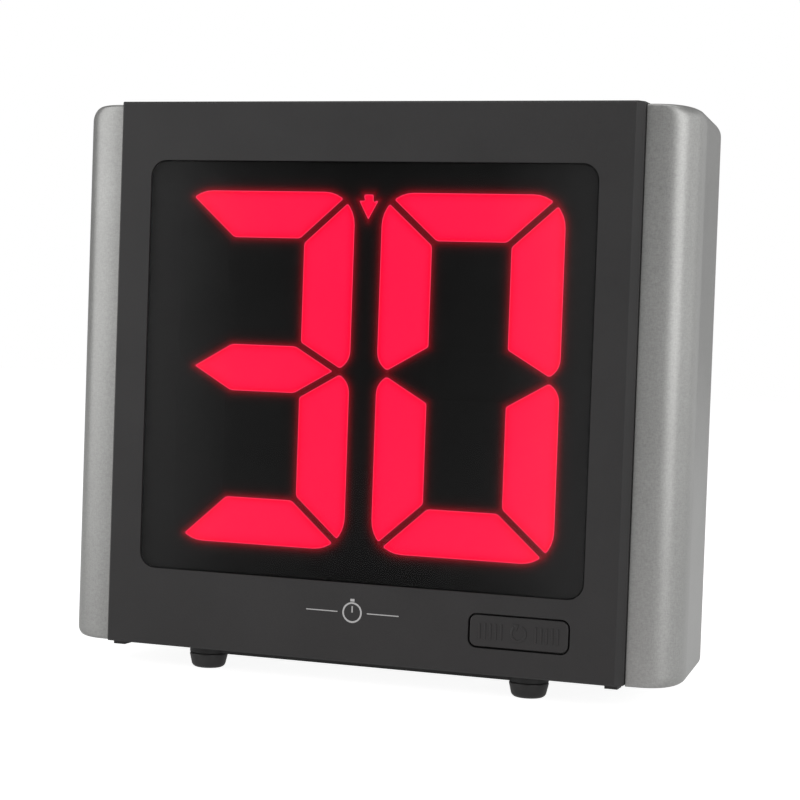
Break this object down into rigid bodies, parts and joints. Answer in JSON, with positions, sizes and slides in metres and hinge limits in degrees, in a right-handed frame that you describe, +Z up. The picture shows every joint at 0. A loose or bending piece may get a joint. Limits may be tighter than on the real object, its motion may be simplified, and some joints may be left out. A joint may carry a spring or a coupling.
{
  "type": "gym round timer",
  "caption": "Free-standing countdown timer box with tall seven-segment digits behind a smoked window, silver end caps, a front reset bar, rear keys and rubber feet.",
  "frame": {"origin": "on the floor under the middle of the box", "axes": "+X to the right as the viewer sees the face, +Y to the back, +Z up"},
  "size_m": [0.2714, 0.095, 0.2421],
  "materials": {
    "housing": "fine moulded texture",
    "rear_housing": "fine moulded texture",
    "end_cap": "satin silver paint",
    "base_plate": "smooth moulded",
    "rubber": "satin",
    "lens": "smoked, polished",
    "mask": "flat black",
    "reflector": "matt white",
    "segment": "lit red diffuser",
    "board": "green solder mask",
    "led": "moulded",
    "chip": "moulded",
    "reset_button": "smooth satin",
    "switch_plunger": "moulded",
    "switch_case": "moulded",
    "capacitor": "shrink sleeve",
    "header": "moulded",
    "ribbon": "flat ribbon",
    "cable": "flat twin lead",
    "key": "smooth satin",
    "switch_shell": "pressed tin plate",
    "jack": "moulded",
    "pin": "nickel plated",
    "buzzer": "moulded",
    "battery_cover": "fine moulded texture",
    "cell": "bright steel can",
    "contact": "spring brass",
    "screw": "zinc plated"
  },
  "bodies": {
    "housing": {"front_housing": "housing", "rear_housing": "rear_housing", "left_end_cap": "end_cap", "right_end_cap": "end_cap", "base_plate": "base_plate", "front_left_foot": "rubber", "front_right_foot": "rubber", "rear_left_foot": "rubber", "rear_right_foot": "rubber", "window_lens": "lens", "display_mask": "mask", "light_box": "reflector", "led_board": "board", "display_leds": "led", "display_drivers": "chip", "tens_segment_a": "segment", "tens_segment_b": "segment", "tens_segment_c": "segment", "tens_segment_d": "segment", "tens_segment_e": "segment", "tens_segment_f": "segment", "tens_segment_g": "segment", "units_segment_a": "segment", "units_segment_b": "segment", "units_segment_c": "segment", "units_segment_d": "segment", "units_segment_e": "segment", "units_segment_f": "segment", "units_segment_g": "segment", "countdown_arrow": "segment", "reset_switch": "switch_case", "reset_board": "board", "main_board": "board", "microcontroller": "chip", "capacitors": "capacitor", "ribbon_headers": "header", "display_ribbon": "ribbon", "reset_cable": "cable", "key_switches": "switch_case", "power_switch": "switch_shell", "dc_jack": "jack", "dc_jack_pin": "pin", "buzzer": "buzzer", "coin_cell": "cell", "battery_contact": "contact", "housing_screws": "screw", "led_board_screws": "screw", "board_screws": "screw", "base_plate_screws": "screw", "end_cap_screws": "screw"},
    "reset_key": {"reset_button": "reset_button", "reset_plunger": "switch_plunger"},
    "set_key": {"set_button": "key"},
    "up_key": {"up_button": "key"},
    "down_key": {"down_button": "key"},
    "power_knob": {"power_slider": "key"},
    "cell_cover": {"battery_cover": "battery_cover"}
  },
  "joints": [
    {"name": "reset_press", "type": "slide", "parent": "housing", "child": "reset_key", "axis": [0, 1, 0], "range_m": [0, 0.001], "stiffness_N_per_m": 1500},
    {"name": "set_press", "type": "slide", "parent": "housing", "child": "set_key", "axis": [0, -1, 0], "range_m": [0, 0.0006], "stiffness_N_per_m": 1500},
    {"name": "up_press", "type": "slide", "parent": "housing", "child": "up_key", "axis": [0, -1, 0], "range_m": [0, 0.0006], "stiffness_N_per_m": 1500},
    {"name": "down_press", "type": "slide", "parent": "housing", "child": "down_key", "axis": [0, -1, 0], "range_m": [0, 0.0006], "stiffness_N_per_m": 1500},
    {"name": "power_slide", "type": "slide", "parent": "housing", "child": "power_knob", "axis": [1, 0, 0], "range_m": [0, 0.003]},
    {"name": "cover_turn", "type": "hinge", "parent": "housing", "child": "cell_cover", "pos_m": [-0.062, 0.0445, 0.1021], "axis": [0, 1, 0], "range_deg": [0, 60]}
  ]
}
